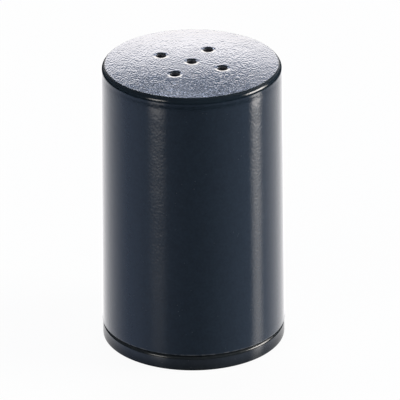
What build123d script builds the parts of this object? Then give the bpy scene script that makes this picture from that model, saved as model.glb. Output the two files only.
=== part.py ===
from build123d import *
import os
from math import asin, degrees, radians, tan

# A moulded table shaker: a one-piece pot with pour holes in its crowned top, a screw base that closes
# it from below, and a flat gasket between them. Millimetres, +Z up. The shaker stands on z = 0 and its
# axis is the Z axis. Every outline below is drawn as (radius, height).

# Outside of the pot
overall_height = 80.0       # table to the crest of the crown
body_radius = 25.0          # at the pot's lower edge, its widest place
draft_angle = 0.55          # degrees that the wall leans in, so that the pot leaves its mould
rim_bevel = 0.3             # lower outside edge

# Top of the pot
crown_rise = 0.45           # how far the middle of the top stands above its edge
top_thickness = 3.0         # at the middle
face_bevel = 0.8            # between the crown and the shoulder
face_bevel_round = 0.4      # where the bevel turns down into the shoulder
shoulder_height = 1.6       # the top's edge down to the land
shoulder_angle = 8.0        # degrees that the shoulder leans in
land_height = 0.5           # upright strip where the two halves of the mould meet
land_depth = 0.09           # how far the land lies inside the wall
land_run_out = 1.0          # slope that leads from the land out to the wall

# Pour holes
outer_hole_count = 4        # evenly round the one in the middle
hole_circle_radius = 9.3
hole_radius = 1.4
dish_width = 1.05           # shallow dish round each hole's mouth
dish_depth = 0.1

# Inside of the pot
mouth_wall = 2.4            # wall behind the thread
ceiling_bevel = 1.5
step_bevel = 0.5            # edge of the step above the thread
mouth_bevel = 0.2           # inner edge of the rim

# Thread between the pot and the base: only its room and its travel, a ridge on each side fills it
thread_depth = 0.8          # height of either ridge
thread_clearance = 0.4      # crest of one ridge to the root of the other
thread_lead = 3.0           # rise in one turn
turns_to_open = 2.5
pilot_length = 1.5          # neck above the thread's travel, which guides the pot on
neck_headroom = 1.0         # end of the neck to the step inside the pot

# Base
ring_height = 4.2
ring_inset = 0.2            # the ring is this much narrower than the pot, all round
ring_bevel = 0.5            # upper outside edge
ring_bevel_round = 0.5      # where that bevel turns down into the ring's side
ring_foot_bevel = 0.4       # lower outside edge
seam_gap = 0.3              # the ring's top to the pot's lower edge, closed
foot_ring_width = 3.5
recess_depth = 1.0          # underside
recess_bevel = 0.4          # edge between the recess and the foot ring
floor_thickness = 2.2
neck_wall = 2.0
neck_lead_in = 0.6          # bevel on the neck's upper outside edge
neck_floor_bevel = 1.0      # corner between the neck and the floor inside it

# Gasket
seal_width = 2.1
seal_thickness = 1.4
seal_groove_depth = 0.6
seal_running_gap = 0.05     # between the gasket and the neck
seal_side_room = 0.15       # round the outside of the gasket

# Places that follow from the sizes
rim_z = ring_height + seam_gap
face_edge_z = overall_height - crown_rise
bevel_foot_z = face_edge_z - face_bevel
land_top_z = face_edge_z - shoulder_height
land_bottom_z = land_top_z - land_height
wall_top_z = land_bottom_z - land_run_out
wall_top_radius = body_radius - (wall_top_z - rim_z) * tan(radians(draft_angle))
land_radius = wall_top_radius - land_depth
bevel_foot_radius = land_radius - (bevel_foot_z - land_top_z) * tan(radians(shoulder_angle))
face_radius = bevel_foot_radius - face_bevel
crown_radius = (face_radius ** 2 + crown_rise ** 2) / (2 * crown_rise)
ceiling_z = overall_height - top_thickness
mouth_radius = body_radius - mouth_wall
chamber_radius = mouth_radius - thread_depth
neck_radius = chamber_radius - thread_clearance
neck_top_z = ring_height + turns_to_open * thread_lead + pilot_length
step_z = neck_top_z + neck_headroom
ring_radius = body_radius - ring_inset
groove_floor_z = ring_height - seal_groove_depth
seal_top_z = groove_floor_z + seal_thickness
seal_inner_radius = neck_radius + seal_running_gap
seal_outer_radius = seal_inner_radius + seal_width
seal_seat_radius = seal_outer_radius + seal_side_room


def turned(outline, bevels, rounds):
    """A solid turned about Z from a closed outline, with the listed (corner, size) bevelled or rounded."""
    section = make_face(outline)
    for corner, size in bevels:
        section = chamfer(section.vertices().sort_by_distance(corner)[0], size)
    for corner, size in rounds:
        section = fillet(section.vertices().sort_by_distance(corner)[0], size)
    return revolve(Plane.XZ * section, Axis.Z)


def crown_ball():
    """The ball that the top is cut to. Its poles lie level, well away from the top."""
    return Pos(0, 0, overall_height - crown_radius) * Rot(0, 90, 0) * Sphere(crown_radius)


def pot_blank():
    """The pot without its holes: rim, drafted wall, land, shoulder, crown, chamber and mouth."""
    blank_top_z = overall_height + face_bevel
    rim_outer = (body_radius, rim_z)
    bevel_foot = (bevel_foot_radius, bevel_foot_z)
    bevel_end = (bevel_foot_radius - (blank_top_z - bevel_foot_z), blank_top_z)
    ceiling_edge = (chamber_radius, ceiling_z)
    step_inner = (chamber_radius, step_z)
    step_outer = (mouth_radius, step_z)
    seat_inner = (mouth_radius, seal_top_z)
    seat_outer = (seal_seat_radius, seal_top_z)
    rim_inner = (seal_seat_radius, rim_z)
    outline = Polyline(rim_outer, (wall_top_radius, wall_top_z), (land_radius, land_bottom_z),
                       (land_radius, land_top_z), bevel_foot, bevel_end, (0, blank_top_z), (0, ceiling_z),
                       ceiling_edge, step_inner, step_outer, seat_inner, seat_outer, rim_inner, close=True)
    bevels = [
        (rim_outer, rim_bevel),
        (ceiling_edge, ceiling_bevel),
        (step_inner, step_bevel),
        (rim_inner, mouth_bevel),
    ]
    return turned(outline, bevels, [(bevel_foot, face_bevel_round)]) & crown_ball()


def hole_places():
    """One pour hole on the axis and the others evenly on a circle round it."""
    return [Location()] + list(PolarLocations(hole_circle_radius, outer_hole_count))


def bore(place):
    """The upright drill that goes right through the top at a hole's place."""
    drill = Cylinder(hole_radius, 2 * top_thickness)
    return place * Pos(0, 0, ceiling_z + top_thickness / 2) * drill


def dish(place):
    """The flat cone that cuts the dish round a hole's mouth. It stands square to the crown there."""
    tip_depth = dish_depth * (hole_radius + dish_width) / dish_width
    crown_slope = degrees(asin(place.position.length / crown_radius))
    cone = Cone(0, 2 * (hole_radius + dish_width), 2 * tip_depth)
    ball_centre = Pos(0, 0, overall_height - crown_radius)
    on_crown = ball_centre * Rot(0, crown_slope, 0) * Pos(0, 0, crown_radius)
    return Rot(0, 0, place.orientation.Z) * on_crown * cone


def shell():
    """The pot, with its pour holes drilled through the top and a shallow dish round the mouth of each."""
    pot = pot_blank()
    for place in hole_places():
        pot = pot - bore(place) - dish(place)
    return pot


def base_cap():
    """The screw base: ring with the gasket's groove, hollow neck, and a recessed underside."""
    recess_radius = ring_radius - foot_ring_width
    floor_z = recess_depth + floor_thickness
    neck_inner_radius = neck_radius - neck_wall
    foot_inner = (recess_radius, 0)
    foot_outer = (ring_radius, 0)
    ring_top = (ring_radius, ring_height)
    neck_top = (neck_radius, neck_top_z)
    floor_corner = (neck_inner_radius, floor_z)
    outline = Polyline((0, recess_depth), (recess_radius, recess_depth), foot_inner, foot_outer, ring_top,
                       (seal_seat_radius, ring_height), (seal_seat_radius, groove_floor_z),
                       (neck_radius, groove_floor_z), neck_top, (neck_inner_radius, neck_top_z),
                       floor_corner, (0, floor_z), close=True)
    bevels = [
        (foot_inner, recess_bevel),
        (foot_outer, ring_foot_bevel),
        (ring_top, ring_bevel),
        (neck_top, neck_lead_in),
        (floor_corner, neck_floor_bevel),
    ]
    ring_bevel_foot = (ring_radius, ring_height - ring_bevel)
    return turned(outline, bevels, [(ring_bevel_foot, ring_bevel_round)])


def seal_ring():
    """The flat gasket, lying in the base's groove with the pot's mouth on top of it."""
    outline = Polyline((seal_inner_radius, groove_floor_z), (seal_outer_radius, groove_floor_z),
                       (seal_outer_radius, seal_top_z), (seal_inner_radius, seal_top_z), close=True)
    return turned(outline, [], [])


os.makedirs("parts", exist_ok=True)
export_step(shell(), "parts/shell.step")
export_step(base_cap(), "parts/base_cap.step")
export_step(seal_ring(), "parts/seal_ring.step")
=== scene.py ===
# %% [markdown]
# # A moulded table shaker
#
# A small pot for salt or ground spice, moulded in blue-black melamine. It stands on a screw base, and its
# slightly crowned top has five pour holes and a fine grain, which hides scratches. The side is polished.
#
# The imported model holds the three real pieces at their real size: pot, base and gasket. This lesson keeps
# their main sizes and adds what a solid model leaves out: soft edges, grain, thread ridges and finishes.
# Each piece is a surface worked out with numpy, and everything is in metres, with the shaker on z = 0.

from math import ceil, cos, pi, radians, sin, sqrt, tan

import bmesh
import bpy
import numpy as np
from mathutils import Matrix, Vector


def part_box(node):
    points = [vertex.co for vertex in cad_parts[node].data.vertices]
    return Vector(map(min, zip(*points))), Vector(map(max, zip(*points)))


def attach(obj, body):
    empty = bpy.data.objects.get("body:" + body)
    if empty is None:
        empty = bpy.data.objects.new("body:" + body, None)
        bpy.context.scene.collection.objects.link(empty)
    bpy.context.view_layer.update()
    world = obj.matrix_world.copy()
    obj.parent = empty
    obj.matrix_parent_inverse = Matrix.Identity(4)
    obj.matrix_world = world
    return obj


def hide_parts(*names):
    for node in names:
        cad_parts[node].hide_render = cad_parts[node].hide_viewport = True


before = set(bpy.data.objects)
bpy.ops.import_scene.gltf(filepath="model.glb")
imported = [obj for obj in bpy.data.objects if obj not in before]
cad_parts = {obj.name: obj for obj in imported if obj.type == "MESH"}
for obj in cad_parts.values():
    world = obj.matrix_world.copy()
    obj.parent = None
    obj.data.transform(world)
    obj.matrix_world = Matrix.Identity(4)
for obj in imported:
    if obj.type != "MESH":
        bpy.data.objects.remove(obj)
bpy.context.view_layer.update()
scene = bpy.context.scene

# %% [markdown]
# ## Sizes from the frame
#
# What the frame can tell is read from it, so that the looks follow the solids. Typing the same numbers
# again would also work, until somebody changed the solids. The sizes that a box can't tell are written
# where they are first needed, as a toolmaker would put them on the drawing of the mould.

# %% Sizes from the frame
MM = 0.001

shell_low, shell_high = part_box("shell")
seal_low, seal_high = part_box("seal_ring")
base_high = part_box("base_cap")[1]

body_radius = min(shell_high.x, shell_high.y)
rim_z = shell_low.z
top_z = shell_high.z
ring_radius = base_high.x
neck_top_z = base_high.z
seal_radius = seal_high.x
seal_low_z = seal_low.z
seal_top_z = seal_high.z
print(f"pot {2 * body_radius / MM:.2f} mm across and {top_z / MM:.2f} mm high")

# %% [markdown]
# ## Camera
#
# A long lens from far away, as for a catalogue picture: the sides stay nearly parallel. A short lens from
# near by would make the top bulge. The camera looks down at the shaker by about 25 degrees and is tipped by
# half a degree. The two shifts slide the picture sideways and up without turning the camera, so they set
# where the shaker stands in the frame.

# %% Camera
picture_side = 400
camera_azimuth = radians(28.6)
camera_elevation = radians(24.9)
camera_roll = radians(-0.465)
camera_distance = 1.3
camera_target = Vector((0, 0, 0.038))
target_in_picture = (192.8, 204.2)      # where the target lies, from the left and from the top

camera_data = bpy.data.cameras.new("camera")
camera = bpy.data.objects.new("camera", camera_data)
scene.collection.objects.link(camera)
scene.camera = camera
camera_data.lens = 432.3
camera_data.sensor_width = 36.0
camera_data.shift_x = (picture_side / 2 - target_in_picture[0]) / picture_side
camera_data.shift_y = (target_in_picture[1] - picture_side / 2) / picture_side
camera_data.clip_start = 0.05
camera_data.clip_end = 50.0

back = Vector((sin(camera_azimuth) * cos(camera_elevation),
               -cos(camera_azimuth) * cos(camera_elevation),
               sin(camera_elevation)))
camera.rotation_mode = "QUATERNION"
camera.location = camera_target + back * camera_distance
facing = (-back).to_track_quat("-Z", "Y").to_matrix()
camera.rotation_quaternion = (facing @ Matrix.Rotation(camera_roll, 3, "Z")).to_quaternion()
print("camera at", tuple(round(value, 4) for value in camera.location))

# %% [markdown]
# ## Helpers for nodes
#
# Node trees are long to write by hand, and clicking them together can't be read afterwards. These helpers
# empty a tree, add a node, do a sum, map a range and add up effects. Each gives back a tree, a node or a
# socket that the next line can use.

# %% Node helpers
def new_tree(owner):
    """The node tree of a material or of the world, emptied."""
    owner.use_nodes = True
    owner.node_tree.nodes.clear()
    return owner.node_tree


def put(tree, kind, inputs=None, **settings):
    """Adds a node, applies its settings and fills its inputs. A socket is linked, and a value is set."""
    node = tree.nodes.new("ShaderNode" + kind)
    for name, value in settings.items():
        setattr(node, name, value)
    for key, value in (inputs or {}).items():
        if isinstance(value, bpy.types.NodeSocket):
            tree.links.new(value, node.inputs[key])
        else:
            node.inputs[key].default_value = value
    return node


def calc(tree, operation, first, second=0.0):
    """One step of arithmetic on sockets or numbers."""
    return put(tree, "Math", {0: first, 1: second}, operation=operation).outputs[0]


def fade(tree, value, start, end, at_start, at_end):
    """Goes smoothly from one level to another while value goes from start to end, and holds both ends."""
    inputs = {"Value": value, "From Min": start, "From Max": end, "To Min": at_start, "To Max": at_end}
    return put(tree, "MapRange", inputs, interpolation_type="SMOOTHSTEP").outputs[0]


def weighted(tree, base, *effects):
    """The base plus each effect times its weight."""
    total = base
    for effect, weight in effects:
        total = calc(tree, "ADD", calc(tree, "MULTIPLY", effect, weight), total)
    return total


print("node helpers:", [helper.__name__ for helper in (new_tree, put, calc, fade, weighted)])

# %% [markdown]
# ## Studio light
#
# A glossy black thing shows little but what it mirrors, so the light is a room painted on the world. Lamps
# could stand in for it, but then each soft edge would need a lamp of its own. Two angles place everything:
# `turn`, measured from straight behind the shaker and positive to the right, and `lift`, upwards from the
# horizon. Below the horizon the world plays the white table.

# %% Angles in the room
def band(start, end):
    """Two angles, given in degrees, between which a light comes up or dies away."""
    return radians(start), radians(end)


world = bpy.data.worlds.new("studio")
scene.world = world
sky = new_tree(world)

direction = put(sky, "TexCoord").outputs["Generated"]
turned = put(sky, "VectorRotate", {"Vector": direction, "Angle": -camera_azimuth}, rotation_type="Z_AXIS")
across, away, upward = put(sky, "SeparateXYZ", {0: turned.outputs[0]}).outputs
turn = calc(sky, "ARCTAN2", across, away)
lift = calc(sky, "ARCSINE", upward)
off_back = calc(sky, "ABSOLUTE", turn)


def between(angle, foot, top, level, before=0.0):
    """Rises to a level over the first pair of angles and falls back to nothing over the second."""
    return calc(sky, "MULTIPLY", fade(sky, angle, *foot, before, level), fade(sky, angle, *top, 1.0, 0.0))


def with_light(light, colour, level):
    """The light so far, with a colour added at a level that varies."""
    tint = put(sky, "VectorMath", {0: colour, "Scale": level}, operation="SCALE").outputs[0]
    return put(sky, "VectorMath", {0: light, 1: tint}, operation="ADD").outputs[0]


print("angles read from the world:", turn.node.operation, lift.node.operation)

# %% [markdown]
# ## Lights behind the shaker
#
# A wide softbox stands low behind the shaker, and a dimmer, bluer glow reaches a little higher. The far
# half of the crowned top mirrors the softbox and the near half the glow, so the top is whitest at the back,
# and the slopes of its grain show by mixing the two. Higher still, a narrow bright shelf is mirrored only
# by steep slopes that face the camera, so that they sparkle. The ceiling is dark and slightly blue.

# %% Lights behind the shaker
back_side = band(18, 34)                # they die away to either side between these

# Each light: the lifts between which it comes up, those between which it dies away, and its colour.
softbox = (band(1, 5), band(22.6, 24.0), (5.03, 4.75, 4.60))
glow = (band(14, 22), band(26.8, 27.6), (1.02, 1.20, 1.65))
shelf = (band(30.4, 31.0), band(32.2, 32.8), (10.6, 11.9, 15.4))

horizon = band(-2, 2)
ceiling_colour = (0.10, 0.12, 0.15)

behind = fade(sky, off_back, *back_side, 1.0, 0.0)
room = (0.0, 0.0, 0.0)
for foot, top, colour in (softbox, glow, shelf):
    room = with_light(room, colour, calc(sky, "MULTIPLY", between(lift, foot, top, 1.0), behind))
room = with_light(room, ceiling_colour, fade(sky, lift, *horizon, 0.0, 1.0))
print("softbox colour:", softbox[2], "glow:", glow[2], "shelf:", shelf[2])

# %% [markdown]
# ## The table in the mirror
#
# Seen from above, the polished side mirrors mostly the table. A real white table is bright where the
# softbox reaches it, behind the shaker, and dim and bluish round to the front. It is dark near the horizon,
# where it ends, and next to the shaker's foot, where it lies in its shadow. A patch on the right gets a
# little more light.

# %% The table in the mirror
table_near = band(-62, -36)             # seen steeply: the shaker's own shadow, up to the lit table
table_edge = band(-19, -13)             # nearer the horizon than this, the mirrored room is dark
table_near_share = 0.08
table_turn = band(20, 95)               # from straight behind, where the bright part dies away
table_level = 1.30
table_colour = (1.08, 0.99, 0.83)
dim_turn = band(95, 180)
dim_levels = (0.45, 0.17)
dim_colour = (0.97, 1.18, 1.72)
patch_rise = band(10, 35)
patch_fall = band(78, 100)
patch_level = 0.06

on_table = between(lift, table_near, table_edge, 1.0, table_near_share)
patch = between(turn, patch_rise, patch_fall, patch_level)
bright = calc(sky, "ADD", fade(sky, off_back, *table_turn, table_level, 0.0), patch)
room = with_light(room, table_colour, calc(sky, "MULTIPLY", bright, on_table))
dim = fade(sky, off_back, *dim_turn, *dim_levels)
room = with_light(room, dim_colour, calc(sky, "MULTIPLY", dim, on_table))
print("table levels:", table_level, "behind and", dim_levels, "from the side to the front")

# %% [markdown]
# ## Strip lights
#
# Two upright strips stand beside the shaker: a bright one on the right and a weak one in front on the left.
# The rounded edges mirror the strips themselves. The side mirrors the table that they light, as long
# streaks that tell the eye it is round. That table is brightest in a pool near its far edge, so the streaks
# are strongest at their upper ends. On the right the lit table is narrower than the strip, so it has a row
# of its own.

# %% Strip lights
strip_foot = band(2, 8)
strip_top = band(22, 27)
pool_near = band(-23.5, -21.0)
pool_far = band(-19.5, -16.5)
strip_colour = (1.05, 1.0, 0.95)

# Each row: turn, half width and soft edge in degrees, then the levels in the room, the pool and the table.
strips = (
    (91.5, 7.0, 15.0, 17.0, 0.0, 0.0),
    (91.5, 1.5, 11.5, 0.0, 5.0, 1.6),
    (-135.0, 2.0, 13.0, 6.0, 2.0, 0.12),
)

for place, half_width, soft_edge, room_level, pool_level, table_share in strips:
    off_strip = calc(sky, "ABSOLUTE", calc(sky, "SUBTRACT", turn, radians(place)))
    strip = fade(sky, off_strip, *band(half_width, half_width + soft_edge), 1.0, 0.0)
    direct = between(lift, strip_foot, strip_top, room_level)
    pool = between(lift, pool_near, pool_far, pool_level)
    strip_level = weighted(sky, calc(sky, "ADD", direct, pool), (on_table, table_share))
    room = with_light(room, strip_colour, calc(sky, "MULTIPLY", strip, strip_level))
print("rows of strips:", len(strips))

# %% [markdown]
# ## What the camera sees of the room
#
# The room is only for mirroring and for light. Straight on, the camera sees plain white, as with a paper
# backdrop. A backdrop object would do the same, but it would stand in the way of the softbox.

# %% What the camera sees of the room
seen = put(sky, "LightPath").outputs["Is Camera Ray"]
lit = put(sky, "Background", {"Color": room})
plain = put(sky, "Background", {"Color": (1, 1, 1, 1)})
mixed = put(sky, "MixShader", {0: seen, 1: lit.outputs[0], 2: plain.outputs[0]})
put(sky, "OutputWorld", {"Surface": mixed.outputs[0]})
scene.view_settings.view_transform = "Standard"
print("world nodes:", len(sky.nodes))

# %% [markdown]
# ## Floor
#
# The floor is a large white sheet. To the camera it adds some even white of its own, so that it comes out
# as white as the background while the shaker's soft shadow stays. More light would whiten it too, but would
# also grey the black side. Mirror rays pass through it, because the world already paints the table that the
# side mirrors. From below it is clear, so that the underside can be looked at.

# %% Floor
floor_half = 8.0
floor_drop = 0.1 * MM            # so that the floor never shares a plane with the foot ring
floor_white = 0.8
floor_shadow_share = 0.07        # of the white that the camera sees, the part that a shadow can take away
floor_own_white = 0.95


def stage_sheet(name, half, drop):
    """A square sheet that lies level at a depth below the table's plane. It belongs to the stage."""
    mesh = bpy.data.meshes.new(name)
    corners = [(-half, -half), (half, -half), (half, half), (-half, half)]
    mesh.from_pydata([(x, y, -drop) for x, y in corners], [], [(0, 1, 2, 3)])
    sheet = bpy.data.objects.new(name, mesh)
    scene.collection.objects.link(sheet)
    return sheet


def grey(level):
    """A neutral colour, opaque."""
    return (level, level, level, 1)


floor = stage_sheet("floor", floor_half, floor_drop)
floor.visible_glossy = False

floor_finish = bpy.data.materials.new("floor_white")
tree = new_tree(floor_finish)
path = put(tree, "LightPath").outputs["Is Camera Ray"]
from_below = put(tree, "NewGeometry").outputs["Backfacing"]
for_light = put(tree, "BsdfDiffuse", {"Color": grey(floor_white)})
for_camera = put(tree, "BsdfDiffuse", {"Color": grey(floor_shadow_share)})
own = put(tree, "Emission", {"Color": grey(1), "Strength": floor_own_white})
whitened = put(tree, "AddShader", {0: for_camera.outputs[0], 1: own.outputs[0]})
chosen = put(tree, "MixShader", {0: path, 1: for_light.outputs[0], 2: whitened.outputs[0]})
clear = put(tree, "BsdfTransparent")
sided = put(tree, "MixShader", {0: from_below, 1: chosen.outputs[0], 2: clear.outputs[0]})
put(tree, "OutputMaterial", {"Surface": sided.outputs[0]})
floor.data.materials.append(floor_finish)
print("floor:", 2 * floor_half, "m square")

# %% [markdown]
# ## Contact shade
#
# Next to the foot the table gets less light, because the shaker stands in its way. The mirrored table is
# painted on the world and can't know this, so a small clear sheet under the floor does it: only mirror rays
# meet it, and it dims them near the foot.

# %% Contact shade
shade_near = 25.5 * MM           # from the axis: inside this the table is at its darkest
shade_far = 31 * MM              # from here on it is as bright as anywhere
shade_level = 0.45

shade = stage_sheet("contact_shade", shade_far, 2 * floor_drop)
shade.visible_camera = False
shade.visible_diffuse = False
shade.visible_transmission = False
shade.visible_shadow = False

shade_finish = bpy.data.materials.new("shade_clear")
tree = new_tree(shade_finish)
place = put(tree, "TexCoord").outputs["Object"]
from_axis = put(tree, "VectorMath", {0: place}, operation="LENGTH").outputs["Value"]
left_over = fade(tree, from_axis, shade_near, shade_far, shade_level, 1.0)
dimming = put(tree, "BsdfTransparent", {"Color": left_over})
put(tree, "OutputMaterial", {"Surface": dimming.outputs[0]})
shade.data.materials.append(shade_finish)
print("shade:", round(2 * shade_far / MM), "mm square")

# %% [markdown]
# ## Outlines
#
# A moulded round piece is an outline carried round an axis. `rounded_outline` draws the outline: straight
# runs between corners, with an arc in place of each corner, because no moulded edge is truly sharp. A Bevel
# modifier could round the edges too, but here each corner gets its own size. `turned_grid` carries the
# outline round.

# %% Outlines
arc_step = radians(11)           # an arc turns by no more than this from point to point
longest_run = 2.0 * MM


def run(start, end):
    """Evenly spaced points from start to end, without the end itself. None are further apart than the
    longest run."""
    steps = max(1, ceil(np.linalg.norm(end - start) / longest_run))
    return start + (end - start) * (np.arange(steps) / steps)[:, None]


def rounded_outline(corners):
    """Points along (radius, height, rounding) corners. Each arc touches both of its runs: its centre lies on
    the corner's bisector, at rounding over the sine of half the angle between them."""
    corners = np.array(corners, float)
    places, sizes = corners[:, :2], corners[:, 2]
    start = places[0]
    parts = []
    for before, corner, after, size in zip(places, places[1:], places[2:], sizes[1:]):
        inward = (before - corner) / np.linalg.norm(before - corner)
        outward = (after - corner) / np.linalg.norm(after - corner)
        half = np.arccos(np.clip(inward @ outward, -1, 1)) / 2
        first = corner + inward * size / tan(half)
        last = corner + outward * size / tan(half)
        centre = corner + (inward + outward) / np.linalg.norm(inward + outward) * size / sin(half)
        steps = max(1, ceil((pi - 2 * half) / arc_step)) if size else 1
        share = np.linspace(0, 1, steps + 1)[:, None]
        spokes = (first - centre) * (1 - share) + (last - centre) * share
        spokes *= size / np.maximum(np.linalg.norm(spokes, axis=1, keepdims=True), 1e-12)
        arc = centre + spokes if size else corner[None, :]
        parts += [run(start, arc[0]), arc[:-1]]
        start = arc[-1]
    parts += [run(start, places[-1]), places[-1:]]
    return np.concatenate(parts)


def turned_grid(outline, angles):
    """The outline (radius r, height z) at each angle a: x = r cos a, y = r sin a."""
    radius, height = outline[:, 0, None], outline[:, 1, None]
    return np.stack([radius * np.cos(angles), radius * np.sin(angles), height + 0 * angles], axis=-1)


square_corner = rounded_outline([(0, 0, 0), (MM, 0, MM / 2), (MM, MM, 0)])
print("a square corner with one rounding takes", len(square_corner), "points")

# %% [markdown]
# ## From grids to a piece
#
# A grid of points becomes quads between neighbouring rows and columns. `make_piece` joins grids into one
# closed mesh: it merges the points that grids share and lets Blender turn every face outwards. A piece of
# several loose shells would render the same, but it couldn't be printed or weighed.

# %% From grids to a piece
merge_distance = 1e-6
crisp_bend = radians(50)         # edges that bend by more than this aren't smoothed over


def grid_faces(rows, columns, first):
    """Quads between neighbouring rows and columns of a grid whose first point has this number. The last
    column joins on to the first, so the grid closes round."""
    row = np.arange(rows - 1)[:, None]
    column = np.arange(columns)[None, :]
    beside = (column + 1) % columns
    quads = np.stack([row * columns + column, row * columns + beside,
                      (row + 1) * columns + beside, (row + 1) * columns + column], axis=-1)
    return first + quads.reshape(-1, 4)


def make_piece(name, grids):
    """One mesh from several grids of points. Each grid has a finish number, or one for each of its rows,
    which holds as far as the next row."""
    points, faces, finishes, count = [], [], [], 0
    for grid, finish in grids:
        rows, columns = grid.shape[:2]
        points.append(grid.reshape(-1, 3))
        faces.append(grid_faces(rows, columns, count))
        finishes.append(np.repeat(np.broadcast_to(finish, rows)[:-1], columns))
        count += rows * columns
    mesh = bpy.data.meshes.new(name)
    mesh.from_pydata(np.concatenate(points), [], np.concatenate(faces).tolist())
    mesh.polygons.foreach_set("material_index", np.concatenate(finishes).astype(np.int32))
    shaping = bmesh.new()
    shaping.from_mesh(mesh)
    bmesh.ops.remove_doubles(shaping, verts=shaping.verts, dist=merge_distance)
    bmesh.ops.recalc_face_normals(shaping, faces=shaping.faces)
    open_edges = sum(not edge.is_manifold for edge in shaping.edges)
    shaping.to_mesh(mesh)
    shaping.free()
    mesh.polygons.foreach_set("use_smooth", np.ones(len(mesh.polygons), bool))
    mesh.set_sharp_from_angle(angle=crisp_bend)
    piece = bpy.data.objects.new(name, mesh)
    scene.collection.objects.link(piece)
    print(f"{name}: {len(mesh.polygons)} faces, {open_edges} open edges")
    return piece


print("quads of a grid of 3 by 4 points:", len(grid_faces(3, 4, 0)))

# %% [markdown]
# ## The pot's sizes
#
# The pot is one moulding with a crowned top. Its wall leans in, so that it slides out of the mould. Near
# the top an upright strip, the land, shows where the two halves of the mould meet. Above it the shoulder
# leans in more, and a bevel leads to the top.

# %% The pot's sizes
draft = tan(radians(0.55))       # how much the wall leans in
crown_rise = 0.45 * MM           # middle of the top above its edge
top_thickness = 3.0 * MM
face_bevel = 0.8 * MM            # between the crown and the shoulder
shoulder_height = 1.6 * MM       # the top's edge down to the land
shoulder_lean = tan(radians(8.0))
land_height = 0.5 * MM
land_depth = 0.09 * MM           # how far the land lies inside the wall
land_run_out = 1.0 * MM          # slope that leads from the land out to the wall
wall_ease = 0.04 * MM            # how far the wall still leans in where the run-out meets it
ease_height = 1.3 * MM           # over this height below the run-out
mouth_wall = 2.4 * MM            # wall behind the thread
thread_depth = 0.8 * MM
thread_clearance = 0.4 * MM
neck_headroom = 1.0 * MM         # end of the neck to the step inside the pot

ceiling_z = top_z - top_thickness
face_edge_z = top_z - crown_rise
bevel_foot_z = face_edge_z - face_bevel
land_top_z = face_edge_z - shoulder_height
land_bottom_z = land_top_z - land_height
wall_top_z = land_bottom_z - land_run_out
ease_z = wall_top_z - ease_height
mouth_radius = body_radius - mouth_wall
chamber_radius = mouth_radius - thread_depth
neck_radius = chamber_radius - thread_clearance
step_z = neck_top_z + neck_headroom


def wall_radius(height):
    """Outside radius of the drafted wall at a height."""
    return body_radius - (height - rim_z) * draft


land_radius = wall_radius(wall_top_z) - land_depth - wall_ease
bevel_radius = land_radius - (bevel_foot_z - land_top_z) * shoulder_lean
face_radius = bevel_radius - face_bevel
crown_ball = (face_radius ** 2 + crown_rise ** 2) / (2 * crown_rise)
print(f"top {2 * face_radius / MM:.2f} mm across, crowned to a ball of {crown_ball / MM:.0f} mm radius")

# %% [markdown]
# ## Moulded relief
#
# Seen close, a moulded surface is never quite flat. The top has low ripples and longer swells under its
# grain, and the polished side has long shallow waves. A bump could draw them too, but only real relief is
# still there when the mesh is used without its material. So it is worked out with numpy, as a sum of cosine
# waves with random directions and phases: it has one size of hill, no pattern that repeats and no seam
# round the pot. The grain itself is finer than the mesh and comes later, as a bump.

# %% Moulded relief
ripple_length = 1.8 * MM
ripple_height = 0.35e-6
ripple_seed = 11
swell_length = 4.5 * MM
swell_height = 1.8e-6
swell_seed = 12
side_wave_length = 6.0 * MM
side_wave_height = 1.5e-6
side_wave_seed = 13
wave_count = 140
wave_spread = 0.25               # how much the waves differ in length


def waves(points, length, seed):
    """Sum of plane waves: each has a random direction, a length near the given one and a random phase. The
    sum is scaled so that its usual height is 1."""
    rng = np.random.default_rng(seed)
    directions = rng.normal(size=(wave_count, 3))
    directions /= np.linalg.norm(directions, axis=1, keepdims=True)
    lengths = length * np.exp(wave_spread * rng.normal(size=wave_count))
    phases = rng.uniform(0, 2 * pi, wave_count)
    turns = points @ (directions / lengths[:, None] * 2 * pi).T + phases
    return np.cos(turns).sum(axis=-1) * sqrt(2 / wave_count)


print("usual heights in micrometres:", [round(1e6 * height, 2) for height in (ripple_height, swell_height)])

# %% [markdown]
# ## The top as five cells
#
# The outline of the pot is turned about the axis, but its top isn't round about one centre: it has five
# holes. Cutting them out of a disc would be quick, but leaves thin triangles that a glossy finish shows as
# creases. So the top is five cells, one for each hole, that meet halfway between holes. Each cell is a grid
# between its hole and its own border, and neighbours share the points on their border.

# %% Borders of the cells
hole_spacing = 9.3 * MM          # middle hole to each outer one
hole_radius = 1.4 * MM
half_way = hole_spacing / 2
cells_reach = face_radius - 0.1 * MM        # where the cells end and the turned outline starts
ceiling_round = 1.5 * MM                    # corner between the chamber's wall and its ceiling
ceiling_reach = chamber_radius - ceiling_round
arc_count = 96                   # steps along a quarter of the top's edge
diagonal_count = 34              # steps along a border between two outer cells
border_count = 18                # steps along a border of the middle cell


def quarter_turn(step):
    """Matrix that turns a point about the axis by so many quarter turns."""
    along, aside = round(cos(step * pi / 2)), round(sin(step * pi / 2))
    return np.array([[along, -aside], [aside, along]], float)


def outer_border(radius):
    """Border of the cell on +X: a quarter of the circle, in along one diagonal, across and out again."""
    angles = np.linspace(-pi / 4, pi / 4, arc_count, endpoint=False)
    arc = radius * np.stack([np.cos(angles), np.sin(angles)], axis=-1)
    corner = np.array([1.0, 1.0]) * radius / sqrt(2)
    inner = np.array([1.0, 1.0]) * half_way
    along = np.linspace(0, 1, diagonal_count, endpoint=False)[:, None]
    down = np.linspace(0, 1, border_count, endpoint=False)[:, None]
    inward = corner + (inner - corner) * along
    across = inner + np.array([0.0, -2.0]) * half_way * down
    outward = (inner + (corner - inner) * along) * np.array([1.0, -1.0])
    return np.concatenate([arc, inward, across, outward])


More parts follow.
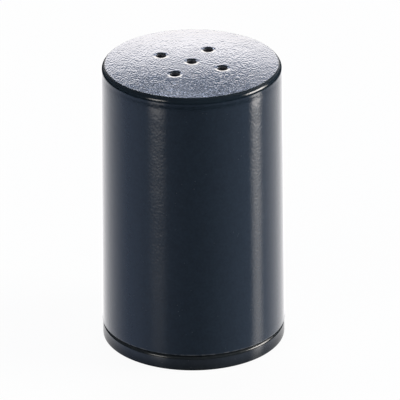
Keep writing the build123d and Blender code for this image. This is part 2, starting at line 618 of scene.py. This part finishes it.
def middle_border(radius):
    """Border of the middle cell: a square, whose size doesn't depend on the radius."""
    down = np.linspace(-1, 1, border_count, endpoint=False)
    edge = np.stack([np.ones_like(down), down], axis=-1) * half_way
    return np.concatenate([edge @ quarter_turn(step).T for step in range(4)])


print("points round an outer cell:", len(outer_border(cells_reach)), "middle cell:", len(middle_border(0)))

# %% [markdown]
# ## Heights on the top
#
# The crown is part of a large ball, so that spilt grains roll off. Each hole has a shallow dish, a flat cone
# that leads the spice in. The relief lies on the crown alone: it fades out towards the dishes, which are
# polished, and towards the top's edge.

# %% Heights on the top
dish_width = 0.75 * MM           # shallow dish round each hole's mouth
dish_depth = 0.13 * MM
relief_fade_hole = 0.5 * MM      # from a dish's brim, how far the relief takes to come up
relief_fade_edge = 0.6 * MM      # the same from the top's edge
hole_centres = np.array([(0, 0)] + [quarter_turn(step) @ (hole_spacing, 0) for step in range(4)])


def crown(place):
    """Height of the crowned top: a ball whose highest point is in the middle."""
    return top_z - crown_ball + np.sqrt(crown_ball ** 2 - (place ** 2).sum(axis=-1))


def dished(place, middle):
    """The crown less the dish, a flat cone that is deepest at the hole's lip and ends at its brim."""
    from_lip = np.linalg.norm(place - middle, axis=-1) - hole_radius
    return crown(place) - dish_depth * np.clip(1 - from_lip / dish_width, 0, 1)


def top_relief(points):
    """Height of ripples and swells on the top. They fade out at the dishes' brims and at the top's edge."""
    flat = points * np.array([1.0, 1.0, 0.0])
    nearest = np.linalg.norm(flat[..., None, :2] - hole_centres, axis=-1).min(axis=-1)
    off_dish = np.clip((nearest - hole_radius - dish_width) / relief_fade_hole, 0, 1)
    off_edge = np.clip((cells_reach - np.linalg.norm(flat, axis=-1)) / relief_fade_edge, 0, 1)
    ripple = ripple_height * waves(flat, ripple_length, ripple_seed)
    swell = swell_height * waves(flat, swell_length, swell_seed)
    return (ripple + swell) * off_dish * off_edge


edge_drop = crown(np.array([0.0, 0.0])) - crown(np.array([cells_reach, 0.0]))
print(f"the cells' border lies {edge_drop / MM:.2f} mm below the middle")

# %% [markdown]
# ## Rows of a cell
#
# Every cell starts on the ceiling inside, goes in to its hole, up the bore, over the small rounding of the
# lip, up the dish and out along the crown. The bore has a finish of its own, rough and pale grey, which makes
# the inside of each hole lighter, and the ceiling, the polished dish and the grained crown each have one too.

# %% Rows of a cell
polished, grained, inner_plain, pale_bore = range(4)      # the pot's finishes, by their place on the pot
lip_round = 0.06 * MM            # where the dish turns down into the bore
brim_round = 0.05 * MM           # where the crown turns down into the dish
ceiling_rows = 6
bore_shares = (0.33, 0.67)       # how far up the bore its rows lie
lip_rows = 5
dish_rows = 7
crown_start = ceiling_rows + len(bore_shares) + lip_rows + dish_rows
crown_rows_outer = 38
crown_rows_middle = 14


def at_height(place, height):
    """Points over these places, at one height or at a height for each."""
    return np.concatenate([place, np.broadcast_to(height, place.shape[:1])[:, None]], axis=1)


def cell(centre, border, crown_rows, step):
    """Grid from the ceiling's border in to the hole, up its bore, over its dish and out along the crown.
    Each column leaves the hole towards its own point of the border."""
    turning = quarter_turn(step)
    middle = turning @ np.array(centre)
    outer = border(cells_reach) @ turning.T
    under = border(ceiling_reach) @ turning.T
    heading = outer - middle
    heading /= np.linalg.norm(heading, axis=1, keepdims=True)
    lip = middle + heading * hole_radius
    lip_top = lip + heading * lip_round
    lip_z = dished(lip_top, middle) - lip_round

    rows = [at_height(under + (lip - under) * share, ceiling_z) for share in np.linspace(0, 1, ceiling_rows)]
    rows += [at_height(lip, ceiling_z + (lip_z - ceiling_z) * share) for share in bore_shares]
    for angle in np.linspace(0, pi / 2, lip_rows):
        rows.append(at_height(lip + heading * lip_round * (1 - cos(angle)), lip_z + lip_round * sin(angle)))
    brim = middle + heading * (hole_radius + dish_width)
    for share in np.linspace(0, 1, dish_rows + 1)[1:]:
        place = lip_top + (brim - lip_top) * share
        rows.append(at_height(place, dished(place, middle)))
    brim = brim + heading * brim_round
    for share in np.linspace(0, 1, crown_rows + 1):
        place = brim + (outer - brim) * share
        rows.append(at_height(place, crown(place)))

    grid = np.stack(rows)
    grid[crown_start:, :, 2] += top_relief(grid[crown_start:])
    counts = [ceiling_rows - 1, len(bore_shares) + 1, lip_rows + dish_rows - 1]
    finish = np.repeat([inner_plain, pale_bore, polished, grained], counts + [len(grid) - sum(counts)])
    return grid, finish


pot_cells = [cell((0, 0), middle_border, crown_rows_middle, 0)]
pot_cells += [cell((hole_spacing, 0), outer_border, crown_rows_outer, step) for step in range(4)]
print("rows and columns of an outer cell:", pot_cells[1][0].shape[:2])

# %% [markdown]
# ## The pot's outline
#
# The rest of the pot is one outline turned about the axis: over the top's edge, down the outside, round the
# rim, and up inside over the seat of the gasket, the mouth and the step to the chamber's ceiling. It could
# be a Screw modifier on a curve, but as an array it can also get the side's long waves. The large roundings
# are what a polisher leaves where the land runs out.

# %% The pot's outline
face_edge_round = 0.15 * MM
bevel_round = 1.5 * MM
land_top_round = 2.0 * MM
land_bottom_round = 1.5 * MM
run_out_round = 12.0 * MM
ease_round = 40.0 * MM
rim_round = 0.3 * MM
rim_inner_round = 0.2 * MM
mouth_round = 0.1 * MM
step_round = 0.4 * MM
seat_radius = seal_radius + 0.15 * MM       # room round the outside of the gasket

pot_outline = rounded_outline([
    (cells_reach, crown(np.array([cells_reach, 0])), 0),
    (face_radius, face_edge_z, face_edge_round),
    (bevel_radius, bevel_foot_z, bevel_round),
    (land_radius, land_top_z, land_top_round),
    (land_radius, land_bottom_z, land_bottom_round),
    (wall_radius(wall_top_z) - wall_ease, wall_top_z, run_out_round),
    (wall_radius(ease_z), ease_z, ease_round),
    (body_radius, rim_z, rim_round),
    (seat_radius, rim_z, rim_inner_round),
    (seat_radius, seal_top_z, 0),
    (mouth_radius, seal_top_z, mouth_round),
    (mouth_radius, step_z, 0),
    (chamber_radius, step_z, step_round),
    (chamber_radius, ceiling_z, ceiling_round),
    (ceiling_reach, ceiling_z, 0),
])
print("points of the pot's outline:", len(pot_outline))

# %% [markdown]
# ## The pot
#
# The side gets its waves, which fade out towards the rim and the land and stay off the inside. Then the
# outline's grid and the five cells become one closed piece. Rows closer to the axis than the gasket's outer
# edge have the plain, duller finish: nearly all of the inside, and the narrow rim of the top, which fingers
# and cloths go over.

# %% The pot
wave_fade = 2 * MM
outer_wall_radius = mouth_radius + 1.3 * MM          # further out than this is the outside

round_angles = -pi / 4 + np.arange(4 * arc_count) * (pi / 2 / arc_count)
pot_side = turned_grid(pot_outline, round_angles)
outside = np.linalg.norm(pot_side[..., :2], axis=-1) > outer_wall_radius
above_rim = np.clip((pot_side[..., 2] - rim_z) / wave_fade, 0, 1)
below_land = np.clip((wall_top_z - pot_side[..., 2]) / wave_fade, 0, 1)
side_waves = side_wave_height * waves(pot_side, side_wave_length, side_wave_seed)
side_waves = side_waves * above_rim * below_land * outside
pot_side[..., :2] *= 1 + (side_waves / body_radius)[..., None]      # straight out from the axis
side_finish = np.where(pot_outline[:, 0] < seal_radius, inner_plain, polished)

pot = make_piece("pot", [(pot_side, side_finish)] + pot_cells)

# %% [markdown]
# ## The base
#
# The base is a ring with a hollow neck that screws into the pot. It stands on a foot ring round a shallow
# recess, because a ring stands steadier than a whole floor that may have warped. Its outline starts and
# ends on the axis, so that the grid closes in a pole below and inside.

# %% The base
ring_height = 4.2 * MM
ring_bevel = 0.5 * MM
foot_ring_width = 3.5 * MM
recess_depth = 1.0 * MM
floor_z = recess_depth + 2.2 * MM           # the base's own floor is 2.2 mm thick
neck_inner = neck_radius - 2.0 * MM         # the neck's wall is 2 mm thick
recess_round = 0.3 * MM
foot_inner_round = 0.35 * MM
foot_outer_round = 0.4 * MM
ring_side_round = 1.0 * MM
ring_top_round = 0.15 * MM
groove_round = 0.1 * MM
neck_lead_round = 0.6 * MM
neck_inner_round = 0.3 * MM
neck_floor_round = 1.0 * MM
recess_radius = ring_radius - foot_ring_width

base_outline = rounded_outline([
    (0, recess_depth, 0),
    (recess_radius, recess_depth, recess_round),
    (recess_radius, 0, foot_inner_round),
    (ring_radius, 0, foot_outer_round),
    (ring_radius, ring_height - ring_bevel, ring_side_round),
    (ring_radius - ring_bevel, ring_height, ring_top_round),
    (seat_radius, ring_height, groove_round),
    (seat_radius, seal_low_z, 0),
    (neck_radius, seal_low_z, 0),
    (neck_radius, neck_top_z, neck_lead_round),
    (neck_inner, neck_top_z, neck_inner_round),
    (neck_inner, floor_z, neck_floor_round),
    (0, floor_z, 0),
])
base = make_piece("base", [(turned_grid(base_outline, round_angles), 0)])

# %% [markdown]
# ## The gasket
#
# A flat ring of soft rubber, cut from a sheet. Its corners are a little rounded where the pot has pressed
# on it. Its outline is closed on itself, so it starts and ends in the middle of the underside. Hidden as it
# is, half as many columns as for the pot are enough.

# %% The gasket
seal_inner = neck_radius + 0.05 * MM        # it runs freely round the neck
seal_corner = 0.15 * MM
seal_middle = (seal_inner + seal_radius) / 2
seal_outline = rounded_outline([
    (seal_middle, seal_low_z, 0),
    (seal_radius, seal_low_z, seal_corner),
    (seal_radius, seal_top_z, seal_corner),
    (seal_inner, seal_top_z, seal_corner),
    (seal_inner, seal_low_z, seal_corner),
    (seal_middle, seal_low_z, 0),
])
gasket = make_piece("gasket", [(turned_grid(seal_outline, round_angles[::2]), 0)])

# %% [markdown]
# ## The threads
#
# Each thread is one ridge with sloping flanks, carried along a right-hand helix, and it fades into the
# wall at both ends. The ridge on the neck and the one in the pot's mouth stand half a lead apart, so that
# each runs in the other's groove while the pot turns and rises. They are pieces of their own, sunk a little
# into the wall that carries them, because cutting a helix into the wall's grid would spoil its even rows.

# %% Threads
thread_lead = 3.0 * MM           # rise in one turn
thread_turns = 2.0
thread_low_z = 5.7 * MM
ridge_foot = 1.3 * MM            # width at the wall
ridge_crest = 0.5 * MM           # width at the crest
ridge_sunk = 0.12 * MM           # how deep the ridge's back lies in the wall
ridge_fade = 0.2                 # turns over which an end fades into the wall
ridge_thinnest = 0.05            # share of its width that is left at the very end
steps_in_a_turn = 120

# Half of the ridge's profile from its crest down to the wall: half width, and share of the whole height.
half_profile = [
    (ridge_crest / 2.4, 1.0),
    (ridge_crest / 1.6, 0.88),
    (ridge_foot / 2.3, 0.1),
    (ridge_foot / 2, 0.0),
]


def ridge(name, wall, outward, start):
    """A closed profile carried along a helix: angle a = start + 2 pi t, height z = low + lead t. The profile
    stands out of the wall on a flat crest and is narrower there than at its foot."""
    along = np.linspace(0, thread_turns, int(thread_turns * steps_in_a_turn))
    rise = np.clip(np.minimum(along, thread_turns - along) / ridge_fade, 0, 1)
    rise = rise * rise * (3 - 2 * rise)
    shape = np.array([(-width, stand) for width, stand in reversed(half_profile)] + half_profile)
    sideways = np.concatenate([shape[:, 0], shape[::-1, 0]])
    stand = np.concatenate([shape[:, 1], np.full(len(shape), -1.0)])
    tall = np.where(stand > 0, stand * thread_depth * rise[:, None], stand * ridge_sunk)
    radius = wall + outward * tall
    angle = start + 2 * pi * along[:, None]
    z = thread_low_z + thread_lead * along[:, None] + sideways * np.maximum(rise, ridge_thinnest)[:, None]
    grid = np.stack([radius * np.cos(angle), radius * np.sin(angle), z], axis=-1)
    tips = [np.broadcast_to(grid[end].mean(axis=0), grid[end].shape) for end in (0, -1)]
    return make_piece(name, [(np.concatenate([tips[0][None], grid, tips[1][None]]), 0)])


neck_thread = ridge("neck_thread", neck_radius, 1, 0.0)
mouth_thread = ridge("mouth_thread", mouth_radius, -1, pi)

# %% [markdown]
# ## Finishes
#
# The pieces are melamine and rubber, and their shaders are alike. What tells them apart are effects that
# vary over the surface. Copying the nodes of an effect into each material would work, but then a change
# would have to be made once for each of them. So each effect is a node group with named inputs, and a
# material gives it its own values.

# %% Node group helper
def group(name, inputs, outputs):
    """An empty node group with named sockets, and the sockets at its way in and its way out."""
    tree = bpy.data.node_groups.new(name, "ShaderNodeTree")
    for direction, sockets in (("INPUT", inputs), ("OUTPUT", outputs)):
        for label, kind in sockets:
            tree.interface.new_socket(label, in_out=direction, socket_type="NodeSocket" + kind)
    return tree, tree.nodes.new("NodeGroupInput").outputs, tree.nodes.new("NodeGroupOutput").inputs


def place_group(tree, made, inputs):
    """Puts a group in a material's tree with that material's own values."""
    return put(tree, "Group", inputs, node_tree=made).outputs


def noise(tree, vector, scale, detail, roughness=0.5):
    """Blender's noise: values about 0.5, with hills that are one metre over the scale across."""
    inputs = {"Vector": vector, "Scale": scale, "Detail": detail, "Roughness": roughness}
    return put(tree, "TexNoise", inputs).outputs[0]


print("group helpers:", [helper.__name__ for helper in (group, place_group, noise)])

# %% [markdown]
# ## Grain
#
# The grain is relief that is too fine for the mesh: the hammered grain of the top, and the faint peel of
# a polished moulding. It is fine noise plus a share of coarse noise, and it drives a bump. The fine hills
# can be squeezed one way, as on the top, where they are longer than they are wide. The mean of both noises
# also paints shade: the colour is a little darker in the hollows and lighter on the hills, so that the relief
# shows in flat light as well.

# %% Grain
grain_turn = radians(28.6)       # from +Y to the way in which the top's fine grain is longest

grain_group, given, result = group(
    "moulded_grain",
    [("Vector", "Vector"), ("Squeeze", "Vector"), ("Fine", "Float"), ("Coarse", "Float"),
     ("Coarse share", "Float")],
    [("Height", "Float"), ("Relief shade", "Float")])
tree = grain_group
unturned = {"Vector": given["Vector"], "Angle": -grain_turn}
along_grain = put(tree, "VectorRotate", unturned, rotation_type="Z_AXIS").outputs[0]
squeezed = put(tree, "VectorMath", {0: along_grain, 1: given["Squeeze"]}, operation="MULTIPLY")
fine = noise(tree, squeezed.outputs[0], given["Fine"], detail=0.0)
coarse = noise(tree, given["Vector"], given["Coarse"], detail=1.0, roughness=0.4)
tree.links.new(weighted(tree, fine, (coarse, given["Coarse share"])), result["Height"])
# Painted shade: the colour is darker where the grain is low and lighter where it is high.
tree.links.new(calc(tree, "MULTIPLY", calc(tree, "ADD", fine, coarse), 0.5), result["Relief shade"])
print("grain group:", len(tree.nodes), "nodes")

# %% [markdown]
# ## Specks and haze
#
# Fine salt and worn spots leave small pale specks, and washing leaves patches of haze. Voronoi cells give
# round dots at an even spacing, which would look like a print. So a coarser noise lets only some of
# them through. Haze is broad noise.

# %% Specks and haze
dot_edge = (0.05, 0.16)          # a dot fades out between these distances from its cell's centre
rare_from = (0.62, 0.70)         # where the noise passes these values, the dots come through
rare_share = 0.31                # how coarse that noise is against the dots
haze_from = (0.35, 0.70)

specks_group, given, result = group(
    "specks_and_haze",
    [("Vector", "Vector"), ("Speck scale", "Float"), ("Haze scale", "Float")],
    [("Specks", "Float"), ("Haze", "Float")])
tree = specks_group
dots = put(tree, "TexVoronoi", {"Vector": given["Vector"], "Scale": given["Speck scale"]}).outputs["Distance"]
patches = noise(tree, given["Vector"], calc(tree, "MULTIPLY", given["Speck scale"], rare_share), detail=0.0)
rare = fade(tree, patches, *rare_from, 0.0, 1.0)
tree.links.new(calc(tree, "MULTIPLY", fade(tree, dots, *dot_edge, 1.0, 0.0), rare), result["Specks"])
broad = noise(tree, given["Vector"], given["Haze scale"], detail=3.0, roughness=0.6)
tree.links.new(fade(tree, broad, *haze_from, 0.0, 1.0), result["Haze"])
print("specks group:", len(tree.nodes), "nodes")

# %% [markdown]
# ## Rubbed edges and a painted highlight
#
# An edge that hands and cloths go over is a little paler and duller than the rest. The same line, made much
# paler, is also a painted highlight along the pot's lower edge. The effect is a soft line at a given height,
# broken up by noise. Reading the curvature of the mesh would find every edge, but it changes with the mesh's
# density, and only one edge of each piece gets the line.

# %% Rubbed edges and a painted highlight
rub_sheen_fade = (0.2, 1.0)            # in widths away from the edge
rub_sheen_scale = 700.0
rub_sheen_from = (0.35, 0.65)
rub_sheen_least = 0.2                  # what is left of the line where the noise takes most of it away

rub_and_sheen_group, given, result = group(
    "edge_rub_and_sheen",
    [("Vector", "Vector"), ("Edge height", "Float"), ("Width", "Float")],
    [("Rub and sheen", "Float")])
tree = rub_and_sheen_group
height = put(tree, "SeparateXYZ", {0: given["Vector"]}).outputs[2]
off_edge = calc(tree, "ABSOLUTE", calc(tree, "SUBTRACT", height, given["Edge height"]))
line = fade(tree, calc(tree, "DIVIDE", off_edge, given["Width"]), *rub_sheen_fade, 1.0, 0.0)
line_breakup = noise(tree, given["Vector"], rub_sheen_scale, detail=3.0, roughness=0.6)
broken = fade(tree, line_breakup, *rub_sheen_from, rub_sheen_least, 1.0)
# The pale line is wear on most finishes and a painted highlight on the pot's side.
tree.links.new(calc(tree, "MULTIPLY", line, broken), result["Rub and sheen"])
print("groups:", [made.name for made in bpy.data.node_groups])

# %% [markdown]
# ## Melamine
#
# Melamine is hard, heavy and glossy, with a faint blue in its black. `melamine` builds one finish of it.
# Base Color, Roughness and the bump vary over the surface, and everything that is the same all over is set
# on the shader itself. Scales are in hills to the metre: 1500 gives hills about 0.7 mm across.

# %% Melamine
speck_scale = 900.0
haze_scale = 60.0
rub_sheen_width = 0.3 * MM
# The painted shade of the grain: the noise's range, and the colour's level in the hollows and on the hills.
relief_shade_from = (0.25, 0.75)
relief_shade_levels = (0.88, 1.12)
speck_pale = 0.02                # what a speck adds to the colour
haze_dull = 0.05                 # what each mark adds to the roughness
speck_dull = 0.3
rub_sheen_dull = 0.06
melamine_ior = 1.5


def melamine(name, colour, rough, fine, coarse, relief, edge, coarse_share=1.0, squeeze=1.0, rub_and_sheen_pale=0.012):
    """A moulded plastic. The grain group gives its relief and a painted shade that darkens its hollows a
    little, specks and haze dull it here and there, and the edge at the given height is made paler: wear from
    rubbing, and on the pot's side a painted highlight."""
    finish = bpy.data.materials.new(name)
    tree = new_tree(finish)
    finish.diffuse_color = (*colour, 1)
    place = put(tree, "TexCoord").outputs["Object"]
    grain = place_group(tree, grain_group, {
        "Vector": place, "Squeeze": (1.0, squeeze, 1.0), "Fine": fine, "Coarse": coarse,
        "Coarse share": coarse_share})
    marks = place_group(tree, specks_group, {
        "Vector": place, "Speck scale": speck_scale, "Haze scale": haze_scale})
    rub_and_sheen = place_group(tree, rub_and_sheen_group, {"Vector": place, "Edge height": edge, "Width": rub_sheen_width})["Rub and sheen"]

    # Painted shade: the grain's hollows come out a little darker, its hills a little lighter.
    relief_shade = fade(tree, grain["Relief shade"], *relief_shade_from, *relief_shade_levels)
    shaded = put(tree, "VectorMath", {0: colour, "Scale": relief_shade}, operation="SCALE").outputs[0]
    # The edge's line adds pale colour: wear on most finishes, a painted highlight on the pot's side.
    pale = weighted(tree, 0.0, (marks["Specks"], speck_pale), (rub_and_sheen, rub_and_sheen_pale))
    marked = put(tree, "VectorMath", {0: shaded, 1: pale}, operation="ADD").outputs[0]
    dull = weighted(tree, rough, (marks["Haze"], haze_dull), (marks["Specks"], speck_dull), (rub_and_sheen, rub_sheen_dull))
    bump = put(tree, "Bump", {"Height": grain["Height"], "Distance": relief, "Strength": 1.0}).outputs[0]
    shader = put(tree, "BsdfPrincipled", {
        "Base Color": marked, "Roughness": dull, "Normal": bump, "IOR": melamine_ior})
    put(tree, "OutputMaterial", {"Surface": shader.outputs[0]})
    return finish


print("fine hills of 1500 to the metre are", round(1 / 1500 / MM, 2), "mm across")

# %% [markdown]
# ## Finishes of the pot and the base
#
# The pot has four finishes. Its side is polished, with a faint peel, and just above its lower edge a pale,
# slightly duller line is a painted highlight. Its top is grained, finely and deeply, and smooth between the
# hills. Its inside comes from a plain, duller mould. Its bores are a rough, pale grey. The base is polished
# like the side.

# %% Finishes of the pot and the base
blue_black = (0.012, 0.021, 0.030)
# Pale grey for the bores, lighter than the rest of the inside.
pale_bore_grey = (0.10, 0.10, 0.11)
base_black = (0.017, 0.021, 0.023)
# Height of the painted highlight line on the pot's side, just above the rim.
pot_sheen_line_z = rim_z + 0.25 * MM
base_rub_z = ring_height - 0.3 * MM

# The pot's side line is much paler than wear elsewhere: a painted highlight.
pot_polished = melamine("pot_polished", blue_black, rough=0.10, fine=1500.0, coarse=420.0, relief=12.0e-6,
                        edge=pot_sheen_line_z, rub_and_sheen_pale=0.09)
pot_grained = melamine("pot_grained", blue_black, rough=0.06, fine=3000.0, coarse=620.0, relief=37e-6,
                       edge=face_edge_z, coarse_share=0.45, squeeze=0.45)
pot_inner = melamine("pot_inner", blue_black, rough=0.32, fine=1200.0, coarse=500.0, relief=4.0e-6,
                     edge=rim_z)
base_polished = melamine("base_polished", base_black, rough=0.12, fine=900.0, coarse=300.0, relief=1.5e-6,
                         edge=base_rub_z)
pot_pale_bore = melamine("pot_pale_bore", pale_bore_grey, rough=0.6, fine=1600.0, coarse=500.0, relief=8.0e-6,
                       edge=rim_z)

pot_finishes = {polished: pot_polished, grained: pot_grained, inner_plain: pot_inner, pale_bore: pot_pale_bore}
for place in sorted(pot_finishes):
    pot.data.materials.append(pot_finishes[place])
base.data.materials.append(base_polished)
neck_thread.data.materials.append(base_polished)
mouth_thread.data.materials.append(pot_inner)
print("finishes of the pot:", [finish.name for finish in pot.data.materials])

# %% [markdown]
# ## Rubber
#
# The gasket is dark, matt rubber with a fine dusty bloom. It uses the same grain and haze as the melamine,
# rougher and with more painted shade in the grain's hollows, and it has no paler edge line, because it is
# pressed and not handled.

# %% Rubber
rubber_colour = (0.05, 0.05, 0.05)
rubber_rough = 0.55
rubber_relief_shade = (0.8, 1.25)
rubber_haze_dull = 0.2

rubber = bpy.data.materials.new("gasket_rubber")
tree = new_tree(rubber)
place = put(tree, "TexCoord").outputs["Object"]
grain = place_group(tree, grain_group, {
    "Vector": place, "Squeeze": (1.0, 1.0, 1.0), "Fine": 3000.0, "Coarse": 900.0, "Coarse share": 0.6})
marks = place_group(tree, specks_group, {
    "Vector": place, "Speck scale": speck_scale, "Haze scale": 150.0})
# Painted shade: the grain's hollows come out darker, its hills lighter.
relief_shade = fade(tree, grain["Relief shade"], *relief_shade_from, *rubber_relief_shade)
shaded = put(tree, "VectorMath", {0: rubber_colour, "Scale": relief_shade}, operation="SCALE").outputs[0]
dull = weighted(tree, rubber_rough, (marks["Haze"], rubber_haze_dull))
bump = put(tree, "Bump", {"Height": grain["Height"], "Distance": 12e-6, "Strength": 1.0}).outputs[0]
shader = put(tree, "BsdfPrincipled", {"Base Color": shaded, "Roughness": dull, "Normal": bump})
put(tree, "OutputMaterial", {"Surface": shader.outputs[0]})
gasket.data.materials.append(rubber)
print("rubber on", gasket.name)

# %% [markdown]
# ## Join the looks to the frame
#
# Each piece rides on the body that moves it and stands for the solid whose place it takes. Parenting by
# hand would look the same at rest, but only the frame knows how the pot turns and rises. A thread ridge
# rides with its wall and stands for no solid, because the solids leave the ridges out.

# %% Join the looks to the frame
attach(pot, "pot")
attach(mouth_thread, "pot")
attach(base, "base")
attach(neck_thread, "base")
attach(gasket, "seal")
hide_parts("shell")
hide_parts("base_cap")
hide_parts("seal_ring")
print("pieces:", [piece.name for piece in (pot, mouth_thread, base, neck_thread, gasket)])
